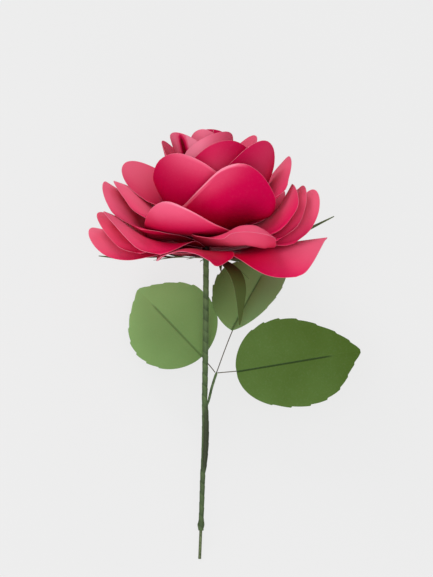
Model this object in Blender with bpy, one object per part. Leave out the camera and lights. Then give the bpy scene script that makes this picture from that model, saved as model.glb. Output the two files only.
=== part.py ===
# Paper camellia on a taped wire stem, with a sprig of three cut leaves.
# Lengths are metres, angles are degrees, +Z is up and the flower lies at rest on its back.
# The flower is drawn standing: x to the right, y away from the front, z up the stem,
# with the origin where the petals sit on the stem. It is laid down at the very end.
import math
import bmesh
import bpy
from mathutils import Matrix, Vector
from mathutils.bvhtree import BVHTree

# Paper and petals
paper_thickness = 0.00025
petal_length = 0.066
petal_width = 0.056
petal_foot_width = 0.009
petal_foot_radius = 0.0031
petal_step = 0.00056
petal_top = 0.0215
petal_clearance = 0.00075
petal_give = 0.0025
petal_cells_across = 8
petal_cells_along = 9
first_foot_angle = 62
last_foot_angle = 96
head_lean = 2.5

# Stem
wire_radius = 0.0009
tape_radius = 0.00165
tape_lower_radius = 0.0014
tape_gap = 0.0003
tape_ridge = 0.00018
tape_pitch = 0.0065
tape_end = -0.163
stem_end = -0.1805
stem_lean = 0.0038
core_top = 0.023
core_radius = 0.0022
bulge_top = -0.085
bulge_bottom = -0.129
bulge_size = 0.0015
knot_height = -0.160
knot_size = 0.0006

# Calyx
sepal_thickness = 0.0003
calyx_hole_radius = 0.0025
calyx_radius = 0.0075
barb_width = 0.0045
barb_reach = 3
barb_drop = 0.0016

# Leaves and sprig
leaf_length = 0.077
leaf_width = 0.056
leaf_thickness = 0.0003
leaf_teeth = 9
tooth_depth = 0.0009
sprig_wire_radius = 0.0003
sprig_tape_radius = 0.0008
sprig_node = Vector((0.0062, 0.0026, -0.0695))

# Petals from the heart outward: turn is the heading round the stem (0 faces the front,
# 90 the right), open is the angle from the stem, reach is how far along the petal it bends
# from the angle at its glued foot into open, flare opens the tip further,
# arch is how far the sides turn up (minus: down), roll tips the petal sideways,
# shoulder is where the rounded end begins, and long and wide scale the two sizes.
petal_rows = [
    dict(name="petal_heart_1", turn=100, open=-8, long=0.88, wide=.54, flare=-6, reach=.3),
    dict(name="petal_heart_2", turn=-22, open=6, long=0.88, wide=0.62, flare=-6, reach=.3,
         shoulder=0.5, blunt=1.0),
    dict(name="petal_heart_3", turn=178, open=0, long=0.92, wide=.82, flare=2, reach=.3),
    dict(name="petal_heart_4", turn=-60, open=16, long=0.9, wide=0.98, flare=3, reach=.3, blunt=1.0),
    dict(name="petal_heart_5", turn=44, open=2, long=0.91, wide=.82, flare=-2, reach=.3),
    dict(name="petal_heart_6", turn=120, open=19, long=0.98, wide=0.7, flare=0, reach=.3),
    dict(name="petal_cup_1", turn=20, open=6, long=0.95, wide=1.11, flare=0, reach=1,
         shoulder=.35, blunt=1.3),
    dict(name="petal_cup_2", turn=-98, open=17, long=0.92, wide=.82, flare=2, arch=10),
    dict(name="petal_cup_3", turn=-160, open=20, long=.92, wide=.89),
    dict(name="petal_cup_4", turn=48, open=13, long=1.06, wide=.98, flare=0, reach=1, blunt=1.3),
    dict(name="petal_cup_5", turn=-29, open=18, long=0.91, wide=1.32, flare=0, reach=1,
         shoulder=0.25, blunt=1.5, arch=0),
    dict(name="petal_cup_6", turn=150, open=28, long=1.0, wide=0.7, flare=0, reach=0.42),
    dict(name="petal_cup_7", turn=-170, open=31, long=.92, wide=.89),
    dict(name="petal_fan_1", turn=82, open=29, long=1.02, wide=0.9, arch=-62, roll=-25, reach=0.5, blunt=0.7),
    dict(name="petal_fan_2", turn=-104, open=39, long=1.0, wide=.93, arch=-20, roll=20, shoulder=.5),
    dict(name="petal_fan_3", turn=170, open=40, long=.95, wide=1.0),
    dict(name="petal_cup_8", turn=22, open=22, long=.97, wide=0.94, flare=0, reach=1,
         curl_left=40, shoulder=.35, blunt=1.8, arch=10),
    dict(name="petal_fan_4", turn=-78, open=47, long=.97, wide=0.8, arch=-72, roll=17,
         shoulder=0.55, blunt=1.0, tip=20, tip_from=0.6),
    dict(name="petal_fan_5", turn=136, open=47, long=.97, wide=1.0),
    dict(name="petal_cup_9", turn=-24, open=87, long=0.93, wide=1.16, flare=0, reach=1,
         shoulder=0.2, tip=-50, tip_from=0.38, blunt=1.9, arch=10),
    dict(name="petal_fan_6", turn=-160, open=46, long=.97, wide=0.95),
    dict(name="petal_fan_7", turn=74, open=50, long=.95, wide=0.84, arch=-70, roll=-30, shoulder=.7,
         blunt=.7, tip=-28, tip_from=0.4),
    dict(name="petal_fan_8", turn=84, open=50, long=1.0, wide=0.98, arch=-60, roll=-36, shoulder=.5, tip=-28, tip_from=0.4),
    dict(name="petal_fan_9", turn=-84, open=52, long=1.06, wide=0.86, arch=-55, roll=22, shoulder=0.5, blunt=0.7),
    dict(name="petal_fan_10", turn=160, open=60, long=1.03, wide=1.04),
    dict(name="petal_fan_11", turn=88, open=57, long=1.09, wide=0.92, arch=-60, roll=-28, shoulder=.6, tip=-18, tip_from=0.4),
    dict(name="petal_rim_1", turn=30, open=58.4, long=1.02, wide=0.84, tip=60, tip_from=.5, arch=-66, roll=-14),
    dict(name="petal_rim_2", turn=-62, open=67, long=1.0, wide=.96, arch=-60, roll=25, shoulder=.5),
    dict(name="petal_rim_3", turn=-84, open=66, long=1.0, wide=.93, arch=-60, roll=25, shoulder=.5),
    dict(name="petal_rim_4", turn=-130, open=72, long=1.03, wide=1.04),
    dict(name="petal_rim_5", turn=146, open=72, long=1.03, wide=1.04),
    dict(name="petal_rim_6", turn=-17, open=86, long=0.71, wide=0.84, tip=0, arch=-55, roll=4, blunt=0.7),
    dict(name="petal_rim_7", turn=70, open=81, long=1.08, wide=0.97, arch=-50, roll=-25, flare=0,
         shoulder=0.8),
    dict(name="petal_rim_8", turn=-165, open=80, long=1.09, wide=1.04),
    dict(name="petal_rim_9", turn=-92, open=74, long=1.05, wide=0.8, arch=-45, roll=22, shoulder=.7),
    dict(name="petal_rim_10", turn=128, open=56, long=0.98, wide=0.66),
    dict(name="petal_rim_11", turn=169, open=82, long=1.12, wide=1.07),
]
petal_usual = dict(open=40, long=1.0, wide=1.0, flare=12, reach=.42, arch=0, roll=0,
                   shoulder=.38, blunt=1.0, tip=0, tip_from=.7, curl_left=0, curl_right=0)

crimson = (0.56, 0.012, 0.06, 1)
leaf_green = (0.16, 0.28, 0.08, 1)
dark_green = (0.05, 0.07, 0.012, 1)
tape_green = (0.15, 0.24, 0.08, 1)
wire_grey = (0.12, 0.12, 0.07, 1)


def ease(start, end, value):
    t = min(max((value - start) / (end - start), 0), 1)
    return t * t * (3 - 2 * t)


def running_sum(values, step):
    total, out = 0.0, [0.0]
    for a, b in zip(values, values[1:]):
        total += (a + b) / 2 * step
        out.append(total)
    return out


def lookup(table, place):
    place = min(max(place, 0), len(table) - 1.000001)
    i = int(place)
    return table[i] + (table[i + 1] - table[i]) * (place - i)


def petal_sheet(order, across, along):
    # The middle surface of one petal as rows of points, foot first
    row = petal_rows[order]
    height = petal_top - petal_step * order
    spread = (order / (len(petal_rows) - 1)) ** .7
    foot_angle = first_foot_angle + (last_foot_angle - first_foot_angle) * spread
    p = dict(petal_usual)
    p.update(row)
    length = petal_length * p["long"]
    half = petal_width * p["wide"] / 2
    foot = petal_foot_width / 2
    steps = 160
    angles = []
    for i in range(steps + 1):
        b = i / steps
        near_foot = max(1 - b / p["reach"], 0) ** 1.6
        angle = p["open"] + (foot_angle - p["open"]) * near_foot
        angle += p["flare"] * ease(.45, 1, b) + p["tip"] * ease(p["tip_from"], 1, b)
        angles.append(math.radians(angle))
    step = length / steps
    radius = [petal_foot_radius + v for v in running_sum([math.sin(a) for a in angles], step)]
    rise = [height + v for v in running_sum([math.cos(a) for a in angles], step)]
    turn = math.radians(p["turn"])
    outward = Vector((math.sin(turn), -math.cos(turn), 0))
    aside = Vector((math.cos(turn), math.sin(turn), 0))
    up = Vector((0, 0, 1))
    rows = []
    for j in range(along + 1):
        v = j / along
        line = []
        for i in range(across + 1):
            u = 2 * i / across - 1
            wide = foot + (half - foot) * math.sin(math.pi / 2 * v ** .95)
            x = wide * math.sin(math.pi * u / 2)
            arc = max(math.cos(math.pi * u / 2), 0) ** p["blunt"]
            y = length * (p["shoulder"] * v + (1 - p["shoulder"]) * v * v * arc)
            b = y / length
            place = b * steps
            angle = lookup(angles, place)
            r = lookup(radius, place)
            round_stem = max(math.cos(angle), 0) / max(r, .007)
            roll = math.radians(p["roll"] * ease(.05, .55, b))
            curl = p["curl_left"] if x < 0 else p["curl_right"]
            sign = -1 if x < 0 else 1
            flat = lift = 0.0
            pieces = 16
            for k in range(pieces):
                s = x * (k + .5) / pieces
                a = abs(s) / half
                bend = round_stem * s + sign * math.radians(p["arch"]) * a * ease(.2, .65, b)
                bend -= sign * math.radians(curl) * ease(.45, 1, a) * ease(.25, .75, b)
                flat += math.cos(bend) * x / pieces
                lift += math.sin(bend) * x / pieces
            inward = -math.cos(angle) * outward + math.sin(angle) * up
            face = inward * math.cos(roll) + aside * math.sin(roll)
            side = aside * math.cos(roll) - inward * math.sin(roll)
            line.append(outward * r + up * lookup(rise, place) + side * flat + face * lift)
        rows.append(line)
    return rows


def grid_faces(across, along):
    faces = []
    for j in range(along):
        for i in range(across):
            a = j * (across + 1) + i
            b, c, d = a + 1, a + across + 2, a + across + 1
            faces += [(a, b, c), (a, c, d)]
    return faces


def grid_normals(rows):
    n, m = len(rows), len(rows[0])
    out = []
    for j in range(n):
        for i in range(m):
            du = rows[j][min(i + 1, m - 1)] - rows[j][max(i - 1, 0)]
            dv = rows[min(j + 1, n - 1)][i] - rows[max(j - 1, 0)][i]
            out.append(du.cross(dv).normalized())
    return out


def clear_room(p):
    # Middle to middle distance two petals keep: least at their feet, where they are glued
    foot = petal_step * .75
    return foot + (petal_clearance - foot) * ease(.005, .02, math.hypot(p.x, p.y))


def settle(sheets, laid):
    # Each sheet is pressed outward until it clears the sheets laid before it
    laid = list(laid)
    for rows in sheets:
        n, m = len(rows), len(rows[0])
        faces = grid_faces(m - 1, n - 1)
        drawn = [p.copy() for line in rows for p in line]
        for sweep in range(16):
            normals = grid_normals(rows)
            points = [p for line in rows for p in line]
            push = []
            for p, normal in zip(points, normals):
                move = Vector()
                room = clear_room(p)
                for tree, others, other_normals in laid:
                    near, face, index, gap = tree.find_nearest(p + move, .009)
                    if near is None:
                        continue
                    away = p + move - near
                    depth = away.dot(face)
                    if abs(depth) > .8 * gap:
                        if face.dot(normal) > .1 and depth < room:
                            move += face * (room - depth)
                    elif gap < room:
                        move += away.normalized() * (room - gap)
                push.append(move)
            # The edges of the earlier petals must not poke through this one either
            this = BVHTree.FromPolygons(points, faces)
            for tree, others, other_normals in laid:
                for q, other_normal in zip(others, other_normals):
                    near, face, index, gap = this.find_nearest(q, .006)
                    if near is None or face.dot(other_normal) < .1:
                        continue
                    depth = (q - near).dot(face)
                    room = clear_room(q)
                    if abs(depth) > .8 * gap and depth > -room:
                        for k in faces[index]:
                            need = depth + room
                            if push[k].dot(face) < need:
                                push[k] = push[k] + face * (need - push[k].dot(face))
            if max(v.length for v in push) < 1e-5:
                break
            if sweep < 11:
                for again in range(3):
                    soft = []
                    for k in range(n * m):
                        j, i = k // m, k % m
                        ring = [push[b * m + a] for b, a in ((j - 1, i), (j + 1, i), (j, i - 1), (j, i + 1))
                                if 0 <= b < n and 0 <= a < m]
                        mean = sum(ring, Vector()) / len(ring)
                        soft.append(mean if mean.length > push[k].length else push[k].lerp(mean, .3))
                    push = soft
            for k in range(n * m):
                # The glued foot stays put, and no corner is carried off
                free = ease(0, .2, k // m / (n - 1))
                shift = points[k] + push[k] * free - drawn[k]
                limit = petal_give * (1 + 11 * ease(.1, .5, k // m / (n - 1)))
                if shift.length > limit:
                    shift *= limit / shift.length
                rows[k // m][k % m] = drawn[k] + shift
        points = [p for line in rows for p in line]
        laid.append((BVHTree.FromPolygons(points, faces), points, grid_normals(rows)))
    return laid


def material(name, colour, roughness=.75, metallic=0.0):
    mat = bpy.data.materials.new(name)
    mat.use_nodes = True
    shader = next(n for n in mat.node_tree.nodes if n.type == "BSDF_PRINCIPLED")
    shader.inputs["Base Color"].default_value = colour
    shader.inputs["Roughness"].default_value = roughness
    shader.inputs["Metallic"].default_value = metallic
    return mat


def make_object(name, points, faces, colour, smooth=False, roughness=.75, metallic=0.0):
    mesh = bpy.data.meshes.new(name)
    mesh.from_pydata([tuple(p) for p in points], [], faces)
    bm = bmesh.new()
    bm.from_mesh(mesh)
    bmesh.ops.recalc_face_normals(bm, faces=bm.faces)
    bmesh.ops.triangulate(bm, faces=bm.faces)
    bm.to_mesh(mesh)
    bm.free()
    if smooth:
        mesh.shade_smooth()
    mesh.materials.append(material(name, colour, roughness, metallic))
    obj = bpy.data.objects.new(name, mesh)
    bpy.context.scene.collection.objects.link(obj)
    obj.parent = plant
    return obj


def thick_sheet(name, middle, faces, thickness, colour):
    # A closed card whose middle surface is the given mesh
    normals = [Vector() for p in middle]
    edges = {}
    for face in faces:
        a, b, c = (middle[k] for k in face[:3])
        normal = (b - a).cross(c - a)
        for k in face:
            normals[k] = normals[k] + normal
        for a, b in zip(face, face[1:] + face[:1]):
            if (b, a) in edges:
                del edges[b, a]
            else:
                edges[a, b] = True
    off = len(middle)
    lifts = [q.normalized() * thickness / 2 for q in normals]
    points = [p + q for p, q in zip(middle, lifts)] + [p - q for p, q in zip(middle, lifts)]
    solid = list(faces) + [tuple(k + off for k in reversed(face)) for face in faces]
    solid += [(b, a, a + off, b + off) for a, b in edges]
    return make_object(name, points, solid, colour)


def thick_grid(name, rows, thickness, colour):
    points = [p for line in rows for p in line]
    return thick_sheet(name, points, grid_faces(len(rows[0]) - 1, len(rows) - 1), thickness, colour)


def tube(name, path, radii, sides, colour, inner=None, roughness=.75, metallic=0.0):
    # A round bar along a path; inner is the radius of a hole through it
    points, faces = [], []
    count = len(path)

    def frame(i):
        along = (path[min(i + 1, count - 1)] - path[max(i - 1, 0)]).normalized()
        side = along.cross(Vector((0, 1, 0))).normalized()
        return side, side.cross(along)

    def ring(i, radius_of):
        side, other = frame(i)
        for k in range(sides):
            a = 2 * math.pi * k / sides
            r = radius_of(k)
            points.append(path[i] + side * math.cos(a) * r + other * math.sin(a) * r)

    for i in range(count):
        ring(i, lambda k: radii[i](k) if callable(radii[i]) else radii[i])
    rings = count
    if inner:
        # The bore needs fewer rings than the outside
        bore = [round((count - 1) * (1 - k / 12)) for k in range(13)]
        for i in bore:
            ring(i, lambda k: inner)
        rings = count + len(bore)
    for j in range(rings - 1 + bool(inner)):
        for k in range(sides):
            a, b = j * sides + k, j * sides + (k + 1) % sides
            c, d = (j + 1) % rings * sides + (k + 1) % sides, (j + 1) % rings * sides + k
            faces.append((a, b, c, d))
    if not inner:
        faces.append(tuple(range(sides - 1, -1, -1)))
        faces.append(tuple((count - 1) * sides + k for k in range(sides)))
    return make_object(name, points, faces, colour, True, roughness, metallic)


def stem_point(z):
    # The stem leans a little to the left toward its foot
    low = max(-z, 0) / -stem_end
    return Vector((-stem_lean * low ** 2, 0, z))


def build_stem():
    heights = [core_top + (stem_end - core_top) * i / 14 for i in range(15)]
    tube("stem_wire", [stem_point(z) for z in heights], [wire_radius] * 15, 10, wire_grey,
         None, .45, .6)
    sides = 10
    levels = 60
    path, radii = [], []
    for i in range(levels):
        t = i / (levels - 1)
        z = core_top - .0004 + (tape_end - core_top) * t
        plain = tape_radius + (tape_lower_radius - tape_radius) * ease(-.06, tape_end, z)
        plain += (core_radius - tape_radius) * ease(.0005, .004, z)
        plain += knot_size * math.exp(-((z - knot_height) / .0022) ** 2)
        swell = bulge_size * ease(bulge_bottom - .004, bulge_bottom + .006, z)
        swell *= 1 - ease(bulge_top - .004, bulge_top + .002, z)

        def radius(k, z=z, plain=plain, swell=swell):
            lay = (z / tape_pitch + k / sides) % 1
            ridge = 0 if z > -.001 else tape_ridge * lay
            right = max(math.cos(2 * math.pi * k / sides), -.3)
            return plain + ridge + swell * right

        path.append(stem_point(z))
        radii.append(radius)
    tube("stem_tape", path, radii, sides, tape_green, wire_radius + tape_gap)


def leaf_half_width(t):
    # Blunt at the base, widest a little below the middle, drawn to a point
    base = math.sqrt(max(1 - (1 - min(t / .44, 1)) ** 2, 0))
    end = 1 - max((t - .44) / .56, 0) ** 2.1
    return base * end


def leaf_sheet(base, heading, face, skew=0.0, cup=0.0, droop=0.0, long=1.0, wide=1.0):
    # Middle surface: base to tip in 2 * teeth steps, side to side in 6
    heading = heading.normalized()
    face = (face - heading * face.dot(heading)).normalized()
    side = face.cross(heading)
    length, half = leaf_length * long, leaf_width * wide / 2
    stations = []
    for i in range(leaf_teeth * 2 + 5):
        stations.append(.002 + .994 * (1 - math.cos(math.pi * (i / (leaf_teeth * 2 + 4)) ** .94)) / 2)
    rows = []
    for j, t in enumerate(stations):
        reach = leaf_half_width(t) * half + .0006
        notch = tooth_depth if j % 2 and t > .2 and t < .97 else 0
        line = []
        for i in range(-3, 4):
            s = i / 3
            v = s * (reach - (notch if abs(i) == 3 else 0))
            u = length * t + skew * v * math.sin(math.pi * min(t * 1.6, 1) / 2) * ease(0, .3, 1 - t)
            fold = abs(v) * math.sin(math.radians(cup))
            flat = v * math.cos(math.radians(cup))
            sag = droop * (u / length) ** 2
            line.append(base + heading * u + side * flat + face * (fold - sag))
        rows.append(line)
    return rows


def smooth_path(points, count):
    # Catmull-Rom through the points
    out = []
    pts = [points[0] * 2 - points[1]] + points + [points[-1] * 2 - points[-2]]
    for s in range(len(points) - 1):
        a, b, c, d = pts[s:s + 4]
        for k in range(count):
            t = k / count
            out.append(((2 * b) + (c - a) * t + (2 * a - 5 * b + 4 * c - d) * t * t
                        + (3 * b - a - 3 * c + d) * t ** 3) / 2)
    out.append(points[-1])
    return out


# The leaves: where each starts, which way it runs and faces, and where its wire leaves the sprig
leaf_rows = [
    dict(name="leaf_left", base=Vector((-.0022, .0046, -.0592)), heading=Vector((-.0405, .036, .0408)),
         face=Vector((-.35, -.8, .45)), skew=0.0, cup=4, droop=.003, long=.9, wide=1.0,
         start=Vector((-.00075, .0003, .00075))),
    dict(name="leaf_back", base=Vector((.0155, .0075, -.0437)), heading=Vector((.029, .064, .053)),
         face=Vector((-.15, -.8, .45)), skew=.0, cup=30, droop=.004, long=1.0, wide=.85,
         start=Vector((.0002, .00055, .00075))),
    dict(name="leaf_right", base=Vector((.0182, .0035, -.0684)), heading=Vector((.0765, .006, .0125)),
         face=Vector((0, -1, .06)), skew=-.2, cup=3, droop=.002, long=1.0, wide=.97,
         start=Vector((.00075, -.0001, .00045))),
]


def build_sprig():
    joint = stem_point(-.083) + Vector((tape_radius + tape_ridge + sprig_tape_radius + .0004, .001, 0))
    tape = smooth_path([joint, (joint + sprig_node) / 2 + Vector((-.0003, 0, 0)), sprig_node], 4)
    tube("sprig_tape", tape, [sprig_tape_radius] * len(tape), 8, tape_green)
    for row in leaf_rows:
        spec = {k: v for k, v in row.items() if k not in ("name", "start")}
        rows = leaf_sheet(**spec)
        thick_grid(row["name"], rows, leaf_thickness, leaf_green)
        # The wire runs to the leaf and along the back of its midrib
        base, heading = row["base"], row["heading"].normalized()
        face = (row["face"] - heading * row["face"].dot(heading)).normalized()
        behind = face * -(leaf_thickness / 2 + sprig_wire_radius + .0004)
        start = sprig_node + row["start"]
        on_leaf = []
        for t in (.08, .3, .52, .75):
            u = leaf_length * row["long"] * t
            on_leaf.append(base + heading * u - face * row["droop"] * t * t + behind)
        middle = []
        if row["name"] == "leaf_left":
            middle = [Vector((.0028, .0048, -.0655))]
        if row["name"] == "leaf_back":
            middle = [Vector((.0105, .0054, -.0575)), Vector((.0146, .0077, -.0470))]
        path = smooth_path([start] + middle + on_leaf, 3)
        tube("sprig_wire" + row["name"][4:], path, [sprig_wire_radius] * len(path), 6, wire_grey,
             None, .5, .4)


# Sepals: turn, length, the angle from the stem along it, how far the blade twists, and half
# widths in millimetres
sepal_rows = [
    dict(turn=-140, long=.052, angles=(88, 86, 82, 80), widths=(3.4, 3.6, 3.2, 2.2, 1.2, .3)),
    dict(turn=-74, long=.066, angles=(92, 89, 87, 86), twist=-24,
         widths=(3.4, 3.2, 2.6, 1.6, 1.0, .3)),
    dict(turn=39, long=.062, angles=(95, 122, 174, 184), widths=(3.6, 4.6, 5.4, 4.6, 2.6, .5)),
    dict(turn=105, long=.086, angles=(86, 68, 62, 62), twist=32,
         widths=(3.4, 3.4, 3.0, 2.4, 1.4, .3)),
    dict(turn=172, long=.046, angles=(88, 86, 82, 80), widths=(3.4, 3.6, 3.2, 2.2, 1.2, .3)),
]
sepal_stations = 11


def sepal_sheet(row, height):
    turn = math.radians(row["turn"])
    outward = Vector((math.sin(turn), -math.cos(turn), 0))
    aside = Vector((math.cos(turn), math.sin(turn), 0))
    steps = 60
    angles = [math.radians(lookup(list(row["angles"]), 3 * i / steps)) for i in range(steps + 1)]
    step = (row["long"] - calyx_radius) / steps
    run = running_sum([math.sin(a) for a in angles], step)
    rise = running_sum([math.cos(a) for a in angles], step)
    rows = []
    for j in range(sepal_stations + 1):
        t = j / sepal_stations
        half = lookup(list(row["widths"]), 5 * t) / 1000
        centre = outward * (calyx_radius + lookup(run, t * steps))
        centre += Vector((0, 0, height + lookup(rise, t * steps)))
        twist = math.radians(row.get("twist", 0)) * ease(.15, .5, t)
        across = (aside * math.cos(twist) + Vector((0, 0, 1)) * math.sin(twist)) * half
        rows.append([centre - across, centre, centre + across])
    return rows


def build_calyx(laid):
    # One cut star round the stem: five sepals, each with two barbs near its foot
    points, faces, ring = [], [], []
    near = calyx_radius * 1.15
    height = min(p.z for tree, sheet, normals in laid for p in sheet if math.hypot(p.x, p.y) < near)
    height -= petal_clearance
    for row in sepal_rows:
        rows = sepal_sheet(row, height)
        foot = [p.copy() for p in rows[0]]
        settle([rows], laid)
        rows[0] = foot
        start = len(points)
        points += [p for line in rows for p in line]
        faces += [tuple(start + k for k in face) for face in grid_faces(2, sepal_stations)]
        ring += [start, start + 1, start + 2]
        for edge, sign in ((0, -1), (2, 1)):
            j = 2
            aside = (rows[j][2] - rows[j][0]).normalized()
            tip = rows[j + barb_reach][edge] + aside * sign * barb_width - Vector((0, 0, barb_drop))
            a, b = start + j * 3 + edge, start + (j + 1) * 3 + edge
            faces.append((a, len(points), b) if sign > 0 else (a, b, len(points)))
            points.append(tip)
    count = len(ring)
    hole = len(points)
    for k in ring:
        p = points[k]
        flat = Vector((p.x, p.y, 0)).normalized() * calyx_hole_radius
        points.append(Vector((flat.x, flat.y, height)))
    for k in range(count):
        a, b = ring[k], ring[(k + 1) % count]
        c, d = hole + (k + 1) % count, hole + k
        faces += [(a, d, c), (a, c, b)]
    lean = Matrix.Rotation(math.radians(head_lean), 3, "Y")
    thick_sheet("calyx", [lean @ p for p in points], faces, sepal_thickness, dark_green)


plant = None


def lay_down():
    # Turn the flower onto the face of its hull that carries it when it lies on its back
    bpy.context.view_layer.update()
    cloud, weight, middle = [], 0.0, Vector()
    for obj in bpy.context.scene.objects:
        if obj.type != "MESH":
            continue
        mesh = obj.data
        cloud += [v.co.copy() for v in mesh.vertices]
        mesh.calc_loop_triangles()
        for tri in mesh.loop_triangles:
            a, b, c = (mesh.vertices[i].co for i in tri.vertices)
            part = a.dot(b.cross(c)) / 6
            weight += part
            middle += (a + b + c) / 4 * part
    middle /= weight
    bm = bmesh.new()
    for p in cloud:
        bm.verts.new(p)
    hull = bmesh.ops.convex_hull(bm, input=bm.verts)
    choices = []
    for face in [g for g in hull["geom"] if isinstance(g, bmesh.types.BMFace)]:
        n = face.normal
        corners = [v.co for v in face.verts]
        if n.dot(corners[0] - middle) < 0:
            n = -n
            corners.reverse()
        foot = middle + n * n.dot(corners[0] - middle)
        margin = min((b - a).cross(foot - a).dot(n) / (b - a).length
                     for a, b in zip(corners, corners[1:] + corners[:1]))
        if margin > 0:
            choices.append((n.y > .85, margin, n.copy()))
    bm.free()
    # The steadiest face on the flower's back
    on_back, margin, down = max(choices, key=lambda c: (c[0], c[1]))
    print("rest face: margin", round(margin * 1000, 1), "mm, down", [round(v, 3) for v in down])
    spin = down.rotation_difference(Vector((0, 0, -1))).to_matrix()
    stem = spin @ Vector((0, 0, 1))
    yaw = Matrix.Rotation(math.atan2(stem.x, stem.y), 3, "Z")
    turn = (yaw @ spin).to_4x4()
    seen = [turn @ p for p in cloud]
    low = Vector([min(p[i] for p in seen) for i in range(3)])
    high = Vector([max(p[i] for p in seen) for i in range(3)])
    shift = Vector((-(low.x + high.x) / 2, -(low.y + high.y) / 2, -low.z))
    plant.matrix_world = Matrix.Translation(shift) @ turn


def main():
    global plant
    for obj in list(bpy.data.objects):
        bpy.data.objects.remove(obj, do_unlink=True)
    plant = bpy.data.objects.new("plant", None)
    bpy.context.scene.collection.objects.link(plant)
    sheets = []
    for order in range(len(petal_rows)):
        sheets.append(petal_sheet(order, petal_cells_across, petal_cells_along))
    laid = settle(sheets, [])
    lean = Matrix.Rotation(math.radians(head_lean), 3, "Y")
    for row, sheet in zip(petal_rows, sheets):
        leaning = [[lean @ p for p in line] for line in sheet]
        thick_grid(row["name"], leaning, paper_thickness, crimson)
    build_calyx(laid)
    build_stem()
    build_sprig()
    lay_down()


main()
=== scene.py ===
# Paper camellia on a taped stem: the finished look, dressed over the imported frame.
# The flower is drawn standing (x right, y away from the front, z up the stem, metres)
# and every piece is then laid down the way the frame lies.
import math

import bpy
import numpy as np
from mathutils import Euler, Matrix, Vector
from mathutils.bvhtree import BVHTree


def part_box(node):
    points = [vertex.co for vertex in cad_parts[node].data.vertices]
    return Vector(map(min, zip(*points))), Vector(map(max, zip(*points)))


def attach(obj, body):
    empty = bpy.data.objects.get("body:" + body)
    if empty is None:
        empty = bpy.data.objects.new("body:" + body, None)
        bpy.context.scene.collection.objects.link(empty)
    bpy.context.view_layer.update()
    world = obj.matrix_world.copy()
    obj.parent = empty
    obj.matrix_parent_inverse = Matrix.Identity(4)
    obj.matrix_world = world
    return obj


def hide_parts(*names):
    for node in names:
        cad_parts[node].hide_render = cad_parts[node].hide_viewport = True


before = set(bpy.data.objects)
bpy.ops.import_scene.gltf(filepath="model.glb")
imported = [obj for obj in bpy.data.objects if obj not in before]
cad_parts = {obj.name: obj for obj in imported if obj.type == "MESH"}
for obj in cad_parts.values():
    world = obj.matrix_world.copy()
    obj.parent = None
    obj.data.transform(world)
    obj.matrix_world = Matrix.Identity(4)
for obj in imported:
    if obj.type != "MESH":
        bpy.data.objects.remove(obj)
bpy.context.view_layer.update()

# How the standing flower lies on the table, and the least height of any point above it
lying = dict(turnDegrees=(-68.7295, -9.4438, -3.6548), place=(-.012398, .045938, .066045),
             lowest=.00002)
turn = Euler([math.radians(a) for a in lying["turnDegrees"]], "XYZ")
laid = Matrix.Translation(lying["place"]) @ turn.to_matrix().to_4x4()
laidTurn = np.array(laid.to_3x3())
laidPlace = np.array(laid.translation)


def ease(start, end, value):
    t = np.clip((value - start) / (end - start), 0, 1)
    return t * t * (3 - 2 * t)


def mix(a, b, t):
    return a + (b - a) * t


# Shader maths

class Wire:
    # A shader socket that takes part in sums; numbers alone stay numbers
    def __init__(self, paint, socket):
        self.paint, self.socket = paint, socket

    def sum(self, operation, first, second=None):
        node = self.paint.tree.nodes.new("ShaderNodeMath")
        node.operation = operation
        for slot, value in zip(node.inputs, (first, second)):
            if value is not None:
                self.paint.join(value, slot)
        return Wire(self.paint, node.outputs[0])

    def __add__(self, other):
        return self.sum("ADD", self, other)

    def __sub__(self, other):
        return self.sum("SUBTRACT", self, other)

    def __rsub__(self, other):
        return self.sum("SUBTRACT", other, self)

    def __mul__(self, other):
        return self.sum("MULTIPLY", self, other)

    def __abs__(self):
        return self.sum("ABSOLUTE", self)

    def between(self, low, high):
        # 0 at low, 1 at high, smooth in between
        return self.paint.node("MapRange", dict(interpolation_type="SMOOTHSTEP"),
                               Value=self, From_Min=low, From_Max=high)


class Paint:
    # One finish: a Principled shader and the nodes that feed it
    def __init__(self, name, **fixed):
        self.material = bpy.data.materials.new(name)
        self.material.use_nodes = True
        self.tree = self.material.node_tree
        self.shader = next(n for n in self.tree.nodes if n.type == "BSDF_PRINCIPLED")
        self.feed(**fixed)

    def join(self, value, socket):
        if isinstance(value, Wire):
            self.tree.links.new(value.socket, socket)
        elif isinstance(value, tuple) and len(value) == 3 and socket.type == "RGBA":
            socket.default_value = (*value, 1)
        else:
            socket.default_value = value

    def fill(self, node, inputs):
        for socket, value in inputs.items():
            self.join(value, node.inputs[socket.replace("_", " ")])

    def node(self, kind, settings=None, out=0, **inputs):
        # Any node: its type, its settings, which output is wanted, and what its sockets hold
        node = self.tree.nodes.new("ShaderNode" + kind)
        for key, value in (settings or {}).items():
            setattr(node, key, value)
        self.fill(node, inputs)
        return Wire(self, node.outputs[out])

    def attributes(self, *names):
        return [self.node("Attribute", dict(attribute_name=name), "Fac") for name in names]

    def noise(self, scale, detail, rough=.5):
        # Unevenness that is fixed to the piece
        return self.node("TexNoise", Vector=self.node("TexCoord", out="Object"), Scale=scale,
                         Detail=detail, Roughness=rough)

    def blend(self, first, second, amount):
        # Two colours mixed; the Mix node's colour sockets have no names of their own
        node = self.tree.nodes.new("ShaderNodeMix")
        node.data_type = "RGBA"
        self.join(amount, node.inputs[0])
        self.join(first, node.inputs[6])
        self.join(second, node.inputs[7])
        return Wire(self, node.outputs[2])

    def feed(self, **inputs):
        self.fill(self.shader, inputs)
        return self.material


# Meshes

def gridFaces(along, across):
    j, i = np.mgrid[0:along, 0:across]
    a = (j * (across + 1) + i).ravel()
    corners = np.stack([a, a + 1, a + across + 2, a + across + 1], 1)
    return [tuple(four) for four in corners.tolist()]


def addObject(name, data):
    made = bpy.data.objects.new(name, data)
    bpy.context.scene.collection.objects.link(made)
    return made


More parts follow.
